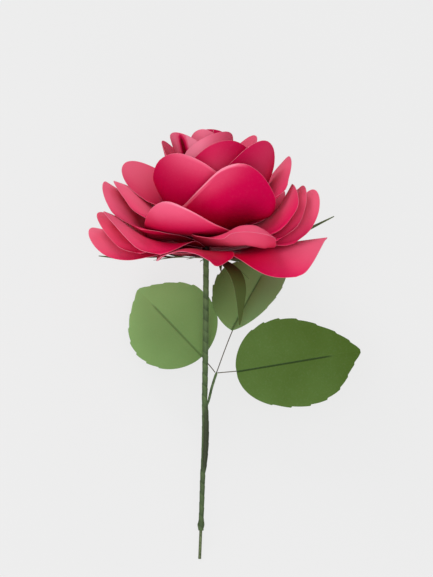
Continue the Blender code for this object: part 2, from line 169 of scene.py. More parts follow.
def addPiece(name, points, faces, values, materials, faceSlots=None, sharp=()):
    # A mesh object laid down with the flower; values holds one number per point for each name
    mesh = bpy.data.meshes.new(name)
    world = np.asarray(points) @ laidTurn.T + laidPlace
    world[:, 2] = np.maximum(world[:, 2], lying["lowest"])
    mesh.from_pydata(world.tolist(), [], faces)
    for key, numbers in values.items():
        attribute = mesh.attributes.new(key, "FLOAT", "POINT")
        attribute.data.foreach_set("value", np.asarray(numbers, "f"))
    for material in materials:
        mesh.materials.append(material)
    if faceSlots is not None:
        mesh.polygons.foreach_set("material_index", np.asarray(faceSlots, "i"))
    mesh.shade_smooth()
    wanted = set(sharp)
    for edge in mesh.edges:
        edge.use_edge_sharp = tuple(sorted(edge.vertices)) in wanted
    mesh.update()
    return addObject(name, mesh)


def cutCard(name, middle, faces, thickness, values, front, rim):
    # A card of the given thickness round a middle surface, its cut rim in its own finish
    middle = np.asarray(middle)
    normals = np.zeros_like(middle)
    border = {}  # edges that only one face has so far
    for face in faces:
        p = middle[list(face)]
        n = np.cross(p[1] - p[0], p[2] - p[0])
        if len(face) == 4:
            n = n + np.cross(p[2] - p[0], p[3] - p[0])
        for k in face:
            normals[k] += n
        for a, b in zip(face, face[1:] + face[:1]):
            if (b, a) in border:
                del border[b, a]
            else:
                border[a, b] = True
    normals /= np.maximum(np.linalg.norm(normals, axis=1, keepdims=True), 1e-12)
    count = len(middle)
    points = np.concatenate([middle + normals * thickness / 2, middle - normals * thickness / 2])
    solid = list(faces) + [tuple(k + count for k in reversed(f)) for f in faces]
    solid += [(b, a, a + count, b + count) for a, b in border]
    slots = [0] * (2 * len(faces)) + [1] * len(border)
    sharp = [tuple(sorted(edge)) for edge in border]
    sharp += [(a + count, b + count) for a, b in sharp]
    # How far each point is from the nearest cut edge, in millimetres
    rimPoints = middle[sorted({k for edge in border for k in edge})]
    gap = np.sqrt(((middle[:, None] - rimPoints[None]) ** 2).sum(2)).min(1) * 1000
    values = {k: np.concatenate([v, v]) for k, v in dict(values, rimGap=gap).items()}
    values["outer"] = np.concatenate([np.ones(count), np.zeros(count)])
    return addPiece(name, points, solid, values, [front, rim], slots, sharp)


def smoothPath(line, times):
    # A smooth curve through all the points, with that many steps between two of them
    line = np.asarray(line, float)
    ends = np.concatenate([2 * line[:1] - line[1:2], line, 2 * line[-1:] - line[-2:-1]])
    out = []
    for s in range(len(line) - 1):
        a, b, c, d = ends[s:s + 4]
        for t in np.arange(times) / times:
            out.append((2 * b + (c - a) * t + (2 * a - 5 * b + 4 * c - d) * t ** 2
                        + (3 * b - a - 3 * c + d) * t ** 3) / 2)
    return np.array(out + [line[-1]])


def smoothGrid(rows, times):
    # The same both ways through a grid of points
    return smoothPath(smoothPath(rows, times).transpose(1, 0, 2), times).transpose(1, 0, 2)


placed = []  # how far off each piece is, with its node


def wear(piece, node):
    # The piece stands for a frame node and moves with it
    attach(piece, "root")
    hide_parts(node)
    # How well it keeps to the node's place, in millimetres
    low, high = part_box(node)
    points = np.array([v.co for v in piece.data.vertices])
    off = max(np.abs(points.min(0) - low).max(), np.abs(points.max(0) - high).max())
    placed.append((round(off * 1000, 2), node))


# Finishes

# deep is the colour of painted shade, tip and edge of painted highlight; the pale colours stand
# partly for the paper's tint and partly for painted light
petalPaint = dict(outerFoot=(.36, 0, .02), outerBody=(.58, 0, .066), outerPale=(.8, .1, .2),
                  innerFoot=(.6, 0, .045), innerBody=(.67, .004, .085), innerPale=(.82, .115, .21),
                  tip=(.9, .25, .37), deep=(.16, 0, .006), edge=(.92, .3, .4), edgeAmount=.28,
                  edgeWidth=(.05, .45), lipWidth=(.5, 2.6), innerRise=(.15, .55),
                  outerRise=(.3, .8), fibre=(1, .8, .86), fibreAmount=.04, cut=(.8, .17, .27),
                  cloudScale=38, cloudReach=.12, cloudTint=.2, grain=700, grainDepth=.00003,
                  sheen=.04, rough=.5, roughGrain=.15)
# Where a petal is painted paler or darker: partly the paper's own paler tint and partly painted
# highlight and painted light where a part is lit or lies in shade; below 0 painted shade in
# recesses. Columns: how far along it (0 foot, 1 tip), how far aside (-1 to 1), how wide the area
# is and how pale it is (below 0 darker). The others pale at the tip.
palerTip = [(1.05, 0, .4, .95)]
# Painted shade: a dark band on petal_heart_4 for the slit between the bud's petals
budSlitShade = [(along, .14, .035, -2.4) for along in (.8, .84, .88, .92, .96)]
tintsAndLight = dict(
    petal_heart_1=[(1, 0, .3, .1)],
    petal_heart_3=[(1, 0, .3, .1)],
    petal_heart_2=[(.95, 0, .7, 1.5)],
    petal_heart_4=[(.95, -.2, .5, 1.3), (.92, .36, .14, 1.4)] + budSlitShade,
    petal_heart_5=[(.92, -.5, .38, 1.8)],
    petal_heart_6=[(1, 0, .5, .8)],
    petal_cup_1=[(.74, -.2, .25, .6)],
    petal_cup_2=[(.9, 0, .5, .6)],
    petal_cup_4=[(.8, .15, .36, .42)],
    petal_cup_5=[(1.08, .15, .21, 1)],
    petal_cup_8=[(.97, -.25, .22, .65), (.62, .2, .28, -.6)],
    petal_cup_9=[(1.14, 0, .24, 1.9), (.35, 0, .22, .9)],
    petal_fan_4=[(.9, -.6, .4, 1.6), (.65, .2, .5, .8)],
    petal_fan_7=[(.85, .2, .4, 1.1), (.5, .6, .35, .9)],
    petal_fan_9=[(1.05, 0, .45, 1.2), (.35, 0, .22, .6)],
    petal_rim_2=palerTip + [(.35, 0, .2, .3)],
    petal_fan_11=[(1, .2, .5, 1.1)],
    petal_rim_1=[(.7, 0, .5, .9)],
    petal_rim_6=[(1, -.8, .4, 1.1), (.65, .1, .3, .7)],
    petal_rim_9=[(1.05, 0, .45, 1.3)])
# Which side's edge turns out and catches the light, shown as a painted highlight (-1 left, 1
# right), and how pale it is
lips = dict(petal_cup_8=(-1, 2), petal_cup_5=(1, .6), petal_cup_9=(1, .8), petal_fan_4=(-1, 1.2),
            petal_fan_7=(1, .8), petal_rim_6=(-1, 1))
lipReach = dict(aside=(-.1, .2), along=(.25, .45))


def petalFinish():
    p = petalPaint
    paint = Paint("petalPaper", Specular_IOR_Level=p["sheen"])
    along, tintAndLight, lip, gap, outer = paint.attributes("along", "tintAndLight", "lip", "rimGap", "outer")
    cloud = paint.noise(p["cloudScale"], 3, .55)
    fibre = paint.noise(p["grain"], 4, .6)
    reach, pale = along + (cloud - .5) * p["cloudReach"], tintAndLight + (cloud - .5) * p["cloudTint"]
    # Along a lip's side the petal is painted paler: a painted highlight
    pale = pale + lip * (1 - gap.between(*p["lipWidth"]))
    inside = paint.blend(p["innerFoot"], p["innerBody"], reach.between(*p["innerRise"]))
    inside = paint.blend(inside, p["innerPale"], pale.between(0, 1))
    outside = paint.blend(p["outerFoot"], p["outerBody"], reach.between(*p["outerRise"]))
    outside = paint.blend(outside, p["outerPale"], pale.between(0, 1.1))
    colour = paint.blend(inside, outside, outer)
    # Past 1 the colour turns to tip: painted highlight
    colour = paint.blend(colour, p["tip"], pale.between(1, 2))
    # Below 0 it turns to deep: painted shade in slits and recesses
    colour = paint.blend(colour, p["deep"], (0 - pale).between(.1, 1.1))
    # A thin painted highlight along every cut edge
    edge = (1 - gap.between(*p["edgeWidth"])) * p["edgeAmount"]
    colour = paint.blend(colour, p["edge"], edge)
    colour = paint.blend(colour, p["fibre"], (fibre - .5) * p["fibreAmount"])
    bump = paint.node("Bump", Height=fibre, Distance=p["grainDepth"], Strength=.5)
    rough = fibre * p["roughGrain"] + p["rough"]
    return paint.feed(Base_Color=colour, Normal=bump, Roughness=rough)


cutPaint = dict(grain=900, rough=.8, darker=.8)


def edgeFinish(name, colour):
    # The cut rim of a card, a little uneven in colour
    p = cutPaint
    paint = Paint(name, Roughness=p["rough"])
    darker = tuple(c * p["darker"] for c in colour)
    return paint.feed(Base_Color=paint.blend(colour, darker, paint.noise(p["grain"], 2)))


leafPaint = dict(bright=(.3, .62, .24), pale=(.25, .44, .15), deep=(.055, .105, .008),
                 grooveShade=(.014, .035, .008), veinAmount=.85, veinDepth=.0004, veinWidth=(.12, .75),
                 veinEnd=(.7, .8), fibre=(.9, 1, .85), fibreAmount=.06, cut=(.16, .28, .09),
                 cloudScale=30, cloudPale=.25, grain=800, rough=.6, sheen=.12)


def leafFinish():
    p = leafPaint
    paint = Paint("leafPaper", Roughness=p["rough"], Specular_IOR_Level=p["sheen"])
    along, aside, paleAndLit, groove = paint.attributes("along", "aside", "paleAndLit", "groove")
    cloud, fibre = paint.noise(p["cloudScale"], 3), paint.noise(p["grain"], 4)
    colour = paint.blend(p["deep"], p["pale"], paleAndLit + (cloud - .5) * p["cloudPale"])
    # Past 1 a leaf turns to the bright green: painted light on the back leaf
    colour = paint.blend(colour, p["bright"], (paleAndLit - 1).between(0, .5))
    # The pressed midrib, a wavering line that ends before the tip, darkened as painted shade in its
    # groove
    line = 1 - (abs(aside) + (cloud - .5) * .3 - paleAndLit * .2).between(*p["veinWidth"])
    line = line * (1 - along.between(*p["veinEnd"]))
    colour = paint.blend(colour, p["grooveShade"], line * groove * p["veinAmount"])
    colour = paint.blend(colour, p["fibre"], (fibre - .5) * p["fibreAmount"])
    bump = paint.node("Bump", Height=fibre * .15 - line, Distance=p["veinDepth"], Strength=.6)
    return paint.feed(Base_Color=colour, Normal=bump)


calyxPaint = dict(face=(.06, .09, .014), dark=(.022, .022, .006), cut=(.1, .14, .04), cloudScale=60,
                  cloudReach=.4, grain=800, grainDepth=.00005, rough=.6, sheen=.3)


def calyxFinish():
    p = calyxPaint
    paint = Paint("calyxPaper", Roughness=p["rough"], Specular_IOR_Level=p["sheen"])
    cloud, fibre = paint.noise(p["cloudScale"], 3), paint.noise(p["grain"], 3)
    along, = paint.attributes("along")
    # Darker toward the star's middle and the barbs' feet, lighter outward: painted shade under the
    # petals
    light = (along + (cloud - .5) * p["cloudReach"]).between(.1, .75)
    bump = paint.node("Bump", Height=fibre, Distance=p["grainDepth"], Strength=.5)
    return paint.feed(Base_Color=paint.blend(p["dark"], p["face"], light), Normal=bump)


tapePaint = dict(light=(.095, .152, .054), dark=(.04, .07, .024), wound=(.03, .04, .017),
                 woundAmount=.85, shade=(.03, 0, .002), cloudScale=160, crepe=1300,
                 crepeDepth=.00012, rough=.55, sheen=.25)


def tapeFinish():
    p = tapePaint
    paint = Paint("floralTape", Roughness=p["rough"], Specular_IOR_Level=p["sheen"])
    lay, topShade, wound = paint.attributes("lay", "topShade", "wound")
    cloud, crepe = paint.noise(p["cloudScale"], 4), paint.noise(p["crepe"], 3)
    colour = paint.blend(p["dark"], p["light"], (lay * .4 + cloud * .8).between(.2, .9))
    colour = paint.blend(colour, p["wound"], wound * p["woundAmount"])
    # The tape's top, in among the petals' feet, is painted dark: painted shade
    colour = paint.blend(colour, p["shade"], topShade)
    bump = paint.node("Bump", Height=crepe * .6 + cloud, Distance=p["crepeDepth"], Strength=.6)
    return paint.feed(Base_Color=colour, Normal=bump)


wirePaint = dict(stem=(.12, .16, .06), stemRough=.35, sprig=(.16, .14, .1), sprigRough=.4,
                 roughWinding=.25, darker=.45, metal=.35, winding=900, windingDepth=.00006)


def wireFinish(name, colour, rough):
    # Florist's wire, wound with fine thread
    p = wirePaint
    paint = Paint(name, Metallic=p["metal"], Specular_IOR_Level=.5)
    wound = paint.noise(p["winding"], 3)
    darker = tuple(c * p["darker"] for c in colour)
    shade = paint.blend(colour, darker, wound.between(.35, .7))
    bump = paint.node("Bump", Height=wound, Distance=p["windingDepth"], Strength=.6)
    return paint.feed(Base_Color=shade, Normal=bump, Roughness=wound * p["roughWinding"] + rough)


petalPaper = petalFinish()
petalEdge = edgeFinish("petalEdge", petalPaint["cut"])
leafPaper = leafFinish()
leafEdge = edgeFinish("leafEdge", leafPaint["cut"])
calyxPaper = calyxFinish()
calyxEdge = edgeFinish("calyxEdge", calyxPaint["cut"])
floralTape = tapeFinish()
stemWireFinish = wireFinish("stemWire", wirePaint["stem"], wirePaint["stemRough"])
sprigWireFinish = wireFinish("sprigWire", wirePaint["sprig"], wirePaint["sprigRough"])
print("finishes made")

# Petals: one row each, from the heart outward. turn is the heading round the stem (0 front,
# 90 right), open the angle from the stem, reach how far along it bends into open, flare opens
# the tip further and tip bends it from tipFrom on, arch turns the sides up (minus: down), roll
# tips it sideways, curlLeft rolls its left side back, shoulder and blunt shape its outline.
petalShape = dict(thickness=.00025, length=.066, width=.056, footWidth=.009, footRadius=.0031,
                  step=.00056, top=.0215, across=8, along=9, firstFootAngle=62, lastFootAngle=96,
                  headLean=2.5, finer=4)
petalUsual = dict(open=40, long=1, wide=1, flare=12, reach=.42, arch=0, roll=0, shoulder=.38,
                  blunt=1, tip=0, tipFrom=.7, curlLeft=0)
# Where along a petal each bend grows, and how it is shared out
petalBends = dict(steps=160, sideSteps=16, footSpread=.7, footCurve=1.6, widening=.95,
                  tightest=.007, flare=(.45, 1), roll=(.05, .55), arch=(.2, .65), curl=(.25, .75),
                  curlAside=(.45, 1))
petals = dict(
    petal_heart_1=dict(turn=100, open=-8, long=.88, wide=.54, flare=-6, reach=.3),
    petal_heart_2=dict(turn=-22, open=6, long=.88, wide=.62, flare=-6, reach=.3, shoulder=.5),
    petal_heart_3=dict(turn=178, open=0, long=.92, wide=.82, flare=2, reach=.3),
    petal_heart_4=dict(turn=-60, open=16, long=.9, wide=.98, flare=3, reach=.3),
    petal_heart_5=dict(turn=44, open=2, long=.91, wide=.82, flare=-2, reach=.3),
    petal_heart_6=dict(turn=120, open=19, long=.98, wide=.7, flare=0, reach=.3),
    petal_cup_1=dict(turn=20, open=6, long=.95, wide=1.11, flare=0, reach=1, shoulder=.35,
                     blunt=1.3),
    petal_cup_2=dict(turn=-98, open=17, long=.92, wide=.82, flare=2, arch=10),
    petal_cup_3=dict(turn=-160, open=20, long=.92, wide=.89),
    petal_cup_4=dict(turn=48, open=13, long=1.06, wide=.98, flare=0, reach=1, blunt=1.3),
    petal_cup_5=dict(turn=-29, open=18, long=.91, wide=1.32, flare=0, reach=1, shoulder=.25,
                     blunt=1.5),
    petal_cup_6=dict(turn=150, open=28, wide=.7, flare=0),
    petal_cup_7=dict(turn=-170, open=31, long=.92, wide=.89),
    petal_fan_1=dict(turn=82, open=29, long=1.02, wide=.9, arch=-62, roll=-25, reach=.5, blunt=.7),
    petal_fan_2=dict(turn=-104, open=39, wide=.93, arch=-20, roll=20, shoulder=.5),
    petal_fan_3=dict(turn=170, long=.95),
    petal_cup_8=dict(turn=22, open=22, long=.97, wide=.94, flare=0, reach=1, curlLeft=40,
                     shoulder=.35, blunt=1.8, arch=10),
    petal_fan_4=dict(turn=-78, open=47, long=.97, wide=.8, arch=-72, roll=17, shoulder=.55, tip=20,
                     tipFrom=.6),
    petal_fan_5=dict(turn=136, open=47, long=.97),
    petal_cup_9=dict(turn=-24, open=87, long=.93, wide=1.16, flare=0, reach=1, shoulder=.2, tip=-50,
                     tipFrom=.38, blunt=1.9, arch=10),
    petal_fan_6=dict(turn=-160, open=46, long=.97, wide=.95),
    petal_fan_7=dict(turn=74, open=50, long=.95, wide=.84, arch=-70, roll=-30, shoulder=.7,
                     blunt=.7, tip=-28, tipFrom=.4),
    petal_fan_8=dict(turn=84, open=50, wide=.98, arch=-60, roll=-36, shoulder=.5, tip=-28,
                     tipFrom=.4),
    petal_fan_9=dict(turn=-84, open=52, long=1.06, wide=.86, arch=-55, roll=22, shoulder=.5,
                     blunt=.7),
    petal_fan_10=dict(turn=160, open=60, long=1.03, wide=1.04),
    petal_fan_11=dict(turn=88, open=57, long=1.09, wide=.92, arch=-60, roll=-28, shoulder=.6,
                      tip=-18, tipFrom=.4),
    petal_rim_1=dict(turn=30, open=58.4, long=1.02, wide=.84, tip=60, tipFrom=.5, arch=-66,
                     roll=-14),
    petal_rim_2=dict(turn=-62, open=67, wide=.96, arch=-60, roll=25, shoulder=.5),
    petal_rim_3=dict(turn=-84, open=66, wide=.93, arch=-60, roll=25, shoulder=.5),
    petal_rim_4=dict(turn=-130, open=72, long=1.03, wide=1.04),
    petal_rim_5=dict(turn=146, open=72, long=1.03, wide=1.04),
    petal_rim_6=dict(turn=-17, open=86, long=.71, wide=.84, arch=-55, roll=4, blunt=.7),
    petal_rim_7=dict(turn=70, open=81, long=1.08, wide=.97, arch=-50, roll=-25, flare=0,
                     shoulder=.8),
    petal_rim_8=dict(turn=-165, open=80, long=1.09, wide=1.04),
    petal_rim_9=dict(turn=-92, open=74, long=1.05, wide=.8, arch=-45, roll=22, shoulder=.7),
    petal_rim_10=dict(turn=128, open=56, long=.98, wide=.66),
    petal_rim_11=dict(turn=169, open=82, long=1.12, wide=1.07))


def lookup(table, place):
    # A value between two entries, up to a hair before the last one
    place = min(max(place, 0), len(table) - 1.000001)
    i = int(place)
    return table[i] + (table[i + 1] - table[i]) * (place - i)


def runningSum(values, step):
    # How far the steps have come at each value, by the trapezium rule
    values = np.asarray(values)
    return np.concatenate([[0], np.cumsum((values[:-1] + values[1:]) / 2 * step)])


def compass(turn):
    # The way out from the stem at a heading, and the way to the right of that
    heading = math.radians(turn)
    across, back = math.sin(heading), math.cos(heading)
    return (across, -back, 0), (back, across, 0)


def petalSheet(order, row):
    # The middle surface of one petal as rows of points, foot first
    s, bends = petalShape, petalBends
    p = {**petalUsual, **row}
    spread = (order / (len(petals) - 1)) ** bends["footSpread"]
    footAngle = mix(s["firstFootAngle"], s["lastFootAngle"], spread)
    length = s["length"] * p["long"]
    half, foot = s["width"] * p["wide"] / 2, s["footWidth"] / 2
    steps = bends["steps"]
    b = np.arange(steps + 1) / steps
    footBend = np.maximum(1 - b / p["reach"], 0) ** bends["footCurve"]
    angles = p["open"] + (footAngle - p["open"]) * footBend
    angles = angles + p["flare"] * ease(*bends["flare"], b) + p["tip"] * ease(p["tipFrom"], 1, b)
    angles = np.radians(angles)
    radius = s["footRadius"] + runningSum(np.sin(angles), length / steps)
    rise = s["top"] - s["step"] * order + runningSum(np.cos(angles), length / steps)
    outward, aside = (np.array(way) for way in compass(p["turn"]))
    up = np.array((0, 0, 1.0))
    rows = []
    for j in range(s["along"] + 1):
        v = j / s["along"]
        line = []
        for i in range(s["across"] + 1):
            u = 2 * i / s["across"] - 1
            widest = mix(foot, half, math.sin(math.pi / 2 * v ** bends["widening"]))
            x = widest * math.sin(math.pi * u / 2)
            arc = max(math.cos(math.pi * u / 2), 0) ** p["blunt"]
            b = p["shoulder"] * v + (1 - p["shoulder"]) * v * v * arc
            angle, r = lookup(angles, b * steps), lookup(radius, b * steps)
            roll = math.radians(p["roll"] * ease(*bends["roll"], b))
            # From the midline out to x the sheet turns by its cupping, its arch and its curl
            sign, curl = (-1, p["curlLeft"]) if x < 0 else (1, 0)
            n = bends["sideSteps"]
            run = x * (np.arange(n) + .5) / n
            out = np.abs(run) / half
            bend = max(math.cos(angle), 0) / max(r, bends["tightest"]) * run
            bend += sign * math.radians(p["arch"]) * out * ease(*bends["arch"], b)
            bend -= (sign * math.radians(curl) * ease(*bends["curlAside"], out)
                     * ease(*bends["curl"], b))
            inward = up * math.sin(angle) - outward * math.cos(angle)
            face = inward * math.cos(roll) + aside * math.sin(roll)
            side = aside * math.cos(roll) - inward * math.sin(roll)
            line.append(Vector(outward * r + up * lookup(rise, b * steps)
                               + side * np.cos(bend).sum() * x / n
                               + face * np.sin(bend).sum() * x / n))
        rows.append(line)
    return rows


def sheetFaces(rows):
    cells = gridFaces(len(rows) - 1, len(rows[0]) - 1)
    return [half for a, b, c, d in cells for half in ((a, b, c), (a, c, d))]


def sheetNormals(rows):
    n, m = len(rows), len(rows[0])
    out = []
    for j in range(n):
        for i in range(m):
            du = rows[j][min(i + 1, m - 1)] - rows[j][max(i - 1, 0)]
            dv = rows[min(j + 1, n - 1)][i] - rows[max(j - 1, 0)][i]
            out.append(du.cross(dv).normalized())
    return out


# Laying sheets on each other, in metres: the clearance, at the feet and beyond them (a share
# of the step between feet, and how far out that holds), how far a foot gives and how much more
# the rest does, how far off another sheet is felt, and how the push is smoothed
laying = dict(clearance=.00075, footShare=.75, footReach=(.005, .02), give=.0025, moreGive=11,
              giveFrom=(.1, .5), free=(0, .2), felt=.009, feltBack=.006, straight=.8, sameWay=.1,
              sweeps=16, softSweeps=11, softPasses=3, soften=.3, still=1e-5)


def clearRoom(p):
    # Two petals lie closest at their feet, where they are glued
    foot = petalShape["step"] * laying["footShare"]
    return mix(foot, laying["clearance"], ease(*laying["footReach"], math.hypot(p.x, p.y)))


def softened(push, n, m):
    # A point's push rises to the mean of its neighbours', or eases toward it where that is less
    soft = []
    for k, own in enumerate(push):
        j, i = k // m, k % m
        cross = ((j - 1, i), (j + 1, i), (j, i - 1), (j, i + 1))
        ring = [push[b * m + a] for b, a in cross if 0 <= b < n and 0 <= a < m]
        mean = sum(ring, Vector()) / len(ring)
        soft.append(mean if mean.length > own.length else own.lerp(mean, laying["soften"]))
    return soft


def settle(sheets, below):
    # Each sheet is pressed outward until it clears the sheets laid before it
    below = list(below)
    for rows in sheets:
        n, m = len(rows), len(rows[0])
        faces = sheetFaces(rows)
        drawn = [p.copy() for line in rows for p in line]
        for sweep in range(laying["sweeps"]):
            normals = sheetNormals(rows)
            points = [p for line in rows for p in line]
            push = []
            for p, normal in zip(points, normals):
                move = Vector()
                room = clearRoom(p)
                for tree, others, otherNormals in below:
                    near, face, index, gap = tree.find_nearest(p + move, laying["felt"])
                    if near is None:
                        continue
                    away = p + move - near
                    depth = away.dot(face)
                    if abs(depth) > laying["straight"] * gap:
                        if face.dot(normal) > laying["sameWay"] and depth < room:
                            move += face * (room - depth)
                    elif gap < room:
                        move += away.normalized() * (room - gap)
                push.append(move)
            # The same from the points of the sheets below to the faces of this one
            this = BVHTree.FromPolygons(points, faces)
            for tree, others, otherNormals in below:
                for q, otherNormal in zip(others, otherNormals):
                    near, face, index, gap = this.find_nearest(q, laying["feltBack"])
                    if near is None or face.dot(otherNormal) < laying["sameWay"]:
                        continue
                    depth = (q - near).dot(face)
                    need = depth + clearRoom(q)
                    if abs(depth) > laying["straight"] * gap and need > 0:
                        for k in faces[index]:
                            if push[k].dot(face) < need:
                                push[k] = push[k] + face * (need - push[k].dot(face))
            if max(v.length for v in push) < laying["still"]:
                break
            for again in range(laying["softPasses"] if sweep < laying["softSweeps"] else 0):
                push = softened(push, n, m)
            for k in range(n * m):
                along = k // m / (n - 1)
                shift = points[k] + push[k] * ease(*laying["free"], along) - drawn[k]
                limit = laying["give"] * (1 + laying["moreGive"] * ease(*laying["giveFrom"], along))
                if shift.length > limit:
                    shift *= limit / shift.length
                rows[k // m][k % m] = drawn[k] + shift
        points = [p for line in rows for p in line]
        below.append((BVHTree.FromPolygons(points, faces), points, sheetNormals(rows)))
    return below


def leanHead(points):
    lean = np.array(Matrix.Rotation(math.radians(petalShape["headLean"]), 3, "Y"))
    return np.asarray(points) @ lean.T


petalSheets = [petalSheet(order, row) for order, row in enumerate(petals.values())]
petalsLaid = settle(petalSheets, [])
for name, sheet in zip(petals, petalSheets):
    grid = smoothGrid(sheet, petalShape["finer"])
    n, m = grid.shape[:2]
    along, aside = np.repeat(np.linspace(0, 1, n), m), np.tile(np.linspace(-1, 1, m), n)
    tintAndLight = sum(amount * np.exp(-((along - a) ** 2 + (aside - b) ** 2 / 3) / size ** 2)
               for a, b, size, amount in tintsAndLight.get(name, palerTip))
    side, amount = lips.get(name, (0, 0))
    lip = amount * ease(*lipReach["aside"], side * aside) * ease(*lipReach["along"], along)
    kind, ring, number = name.split("_")
    piece = cutCard(kind + ring.capitalize() + number, leanHead(grid.reshape(-1, 3)),
                    gridFaces(n - 1, m - 1), petalShape["thickness"],
                    dict(along=along, tintAndLight=tintAndLight, lip=lip), petalPaper, petalEdge)
    wear(piece, name)
print("petals laid:", len(petals))

# Calyx: one cut star, five sepals with two barbs each. Barbs leave the sepal at the station
# barbFoot and point to the one barbReach further on, in barbSteps steps to a thin tip.
calyxShape = dict(thickness=.0003, hole=.0025, radius=.0075, underFeet=1.15, stations=11, steps=60,
                  twistFrom=(.15, .5), finer=4, barbFoot=2, barbReach=3, barbSteps=5,
                  barbWidth=.0045, barbDrop=.0016, barbSlim=.85, barbTaper=1.5, barbBow=.18,
                  sepalShade=(.15, 1), barbShade=(.4, .8), barbTipShade=.9)
# turn is the heading, angles the way from the stem along the sepal (90 flat, 180 down), widths
# its half widths in millimetres from the star's middle to the tip
sepals = [
    dict(turn=-140, long=.052, angles=(88, 86, 82, 80), widths=(3.4, 3.6, 3.2, 2.2, 1.2, .3)),
    dict(turn=-74, long=.066, angles=(92, 89, 87, 86), twist=-24,
         widths=(3.4, 3.2, 2.6, 1.6, 1, .3)),
    dict(turn=39, long=.062, angles=(95, 122, 174, 184), widths=(3.6, 4.6, 5.4, 4.6, 2.6, .5)),
    dict(turn=105, long=.086, angles=(86, 68, 62, 62), twist=32,
         widths=(3.4, 3.4, 3, 2.4, 1.4, .3)),
    dict(turn=172, long=.046, angles=(88, 86, 82, 80), widths=(3.4, 3.6, 3.2, 2.2, 1.2, .3))]


def sepalSheet(row, height):
    s = calyxShape
    outward, aside = (Vector(way) for way in compass(row["turn"]))
    steps, bends, cuts = s["steps"], row["angles"], row["widths"]
    angles = [math.radians(lookup(bends, (len(bends) - 1) * i / steps)) for i in range(steps + 1)]
    step = (row["long"] - s["radius"]) / steps
    run, rise = runningSum(np.sin(angles), step), runningSum(np.cos(angles), step)
    rows = []
    for j in range(s["stations"] + 1):
        t = j / s["stations"]
        half = lookup(cuts, (len(cuts) - 1) * t) / 1000
        centre = outward * (s["radius"] + lookup(run, t * steps))
        centre += Vector((0, 0, height + lookup(rise, t * steps)))
        twist = math.radians(row.get("twist", 0)) * float(ease(*s["twistFrom"], t))
        across = (aside * math.cos(twist) + Vector((0, 0, 1)) * math.sin(twist)) * half
        rows.append([centre - across, centre, centre + across])
    return rows


def makeCalyx():
    s = calyxShape
    near = s["radius"] * s["underFeet"]
    height = min(p.z for tree, sheet, normals in petalsLaid for p in sheet
                 if math.hypot(p.x, p.y) < near) - laying["clearance"]
    points, faces, ring, along = [], [], [], []
    for row in sepals:
        rows = sepalSheet(row, height)
        foot = [p.copy() for p in rows[0]]
        settle([rows], petalsLaid)
        rows[0] = foot
        grid = smoothGrid(rows, s["finer"])
        n, m = grid.shape[:2]
        start = len(points)
        points += [tuple(p) for p in grid.reshape(-1, 3)]
        along += list(np.repeat(np.linspace(*s["sepalShade"], n), m))
        faces += [tuple(start + k for k in face) for face in gridFaces(n - 1, m - 1)]
        ring += list(range(start, start + m))
        for edge, sign in ((0, -1), (m - 1, 1)):
            # A barb is a narrow tongue that leaves the sepal's side and points forward
            first = s["barbFoot"] * s["finer"]
            root = [start + (first + k) * m + edge for k in range(s["finer"] + 1)]
            last = grid[(s["barbFoot"] + s["barbReach"]) * s["finer"]]
            reachAside = grid[first, -1] - grid[first, 0]
            reachAside = reachAside / np.linalg.norm(reachAside) * sign * s["barbWidth"]
            tip = last[edge] + reachAside - np.array((0, 0, s["barbDrop"]))
            centre = np.mean([points[k] for k in root], 0)
            previous = root
            for level in range(1, s["barbSteps"]):
                w = level / s["barbSteps"]
                bow = reachAside * s["barbBow"] * math.sin(math.pi * w)
                line = []
                for k in root:
                    base = np.array(points[k])
                    slim = base + (centre - base) * w ** s["barbTaper"] * s["barbSlim"]
                    p = slim * (1 - w) + tip * w + bow
                    line.append(len(points))
                    points.append(tuple(p))
                    along.append(mix(*s["barbShade"], w))
                for a, b, c, d in zip(previous, previous[1:], line[1:], line):
                    faces.append((a, d, c, b) if sign > 0 else (a, b, c, d))
                previous = line
            points.append(tuple(tip))
            along.append(s["barbTipShade"])
            for a, b in zip(previous, previous[1:]):
                faces.append((a, len(points) - 1, b) if sign > 0 else (a, b, len(points) - 1))
    # The middle of the star runs in to the hole that the stem passes through
    hole = len(points)
    for k in ring:
        p = np.array(points[k])
        flat = p[:2] / np.linalg.norm(p[:2]) * s["hole"]
        points.append((flat[0], flat[1], height))
        along.append(0)
    for k in range(len(ring)):
        after = (k + 1) % len(ring)
        faces.append((ring[k], hole + k, hole + after, ring[after]))
    piece = cutCard("calyxStar", leanHead(points), faces, s["thickness"],
                    dict(along=along), calyxPaper, calyxEdge)
    wear(piece, "calyx")


makeCalyx()
print("calyx made")

# Stem: bare wire, and the tape wound over it. Heights are from the lowest petals' feet.
stemShape = dict(wireRadius=.0009, wireSteps=60, wireSides=24, tapeRadius=.00165, lowerRadius=.0014,
                 slimFrom=-.06, gap=.0003, ridge=.00018, pitch=.0065, lapEdge=.93, tapeSteps=760,
                 tapeSides=28, tapeEnd=-.163, end=-.1805, endGap=.0004, lean=.0038, coreTop=.023,
                 coreRadius=.0022, coreFrom=(.0005, .004), plainAbove=-.001,
                 topShadeAbove=(-.001, .002), bulgeTop=-.085, bulgeBottom=-.129, bulge=.0015,
                 bulgeBack=-.3, bulgeCurve=(.9, .8), woundSwell=(.1, .6), woundSide=(-.5, .2),
                 knotHeight=-.16, knot=.0006, knotLength=.0022, darkBelow=(-.09, -.125),
                 darkAmount=.4)


def stemPoint(z):
    # The stem leans a little to the left toward its foot
    low = max(-z, 0) / -stemShape["end"]
    return np.array((-stemShape["lean"] * low ** 2, 0, z))


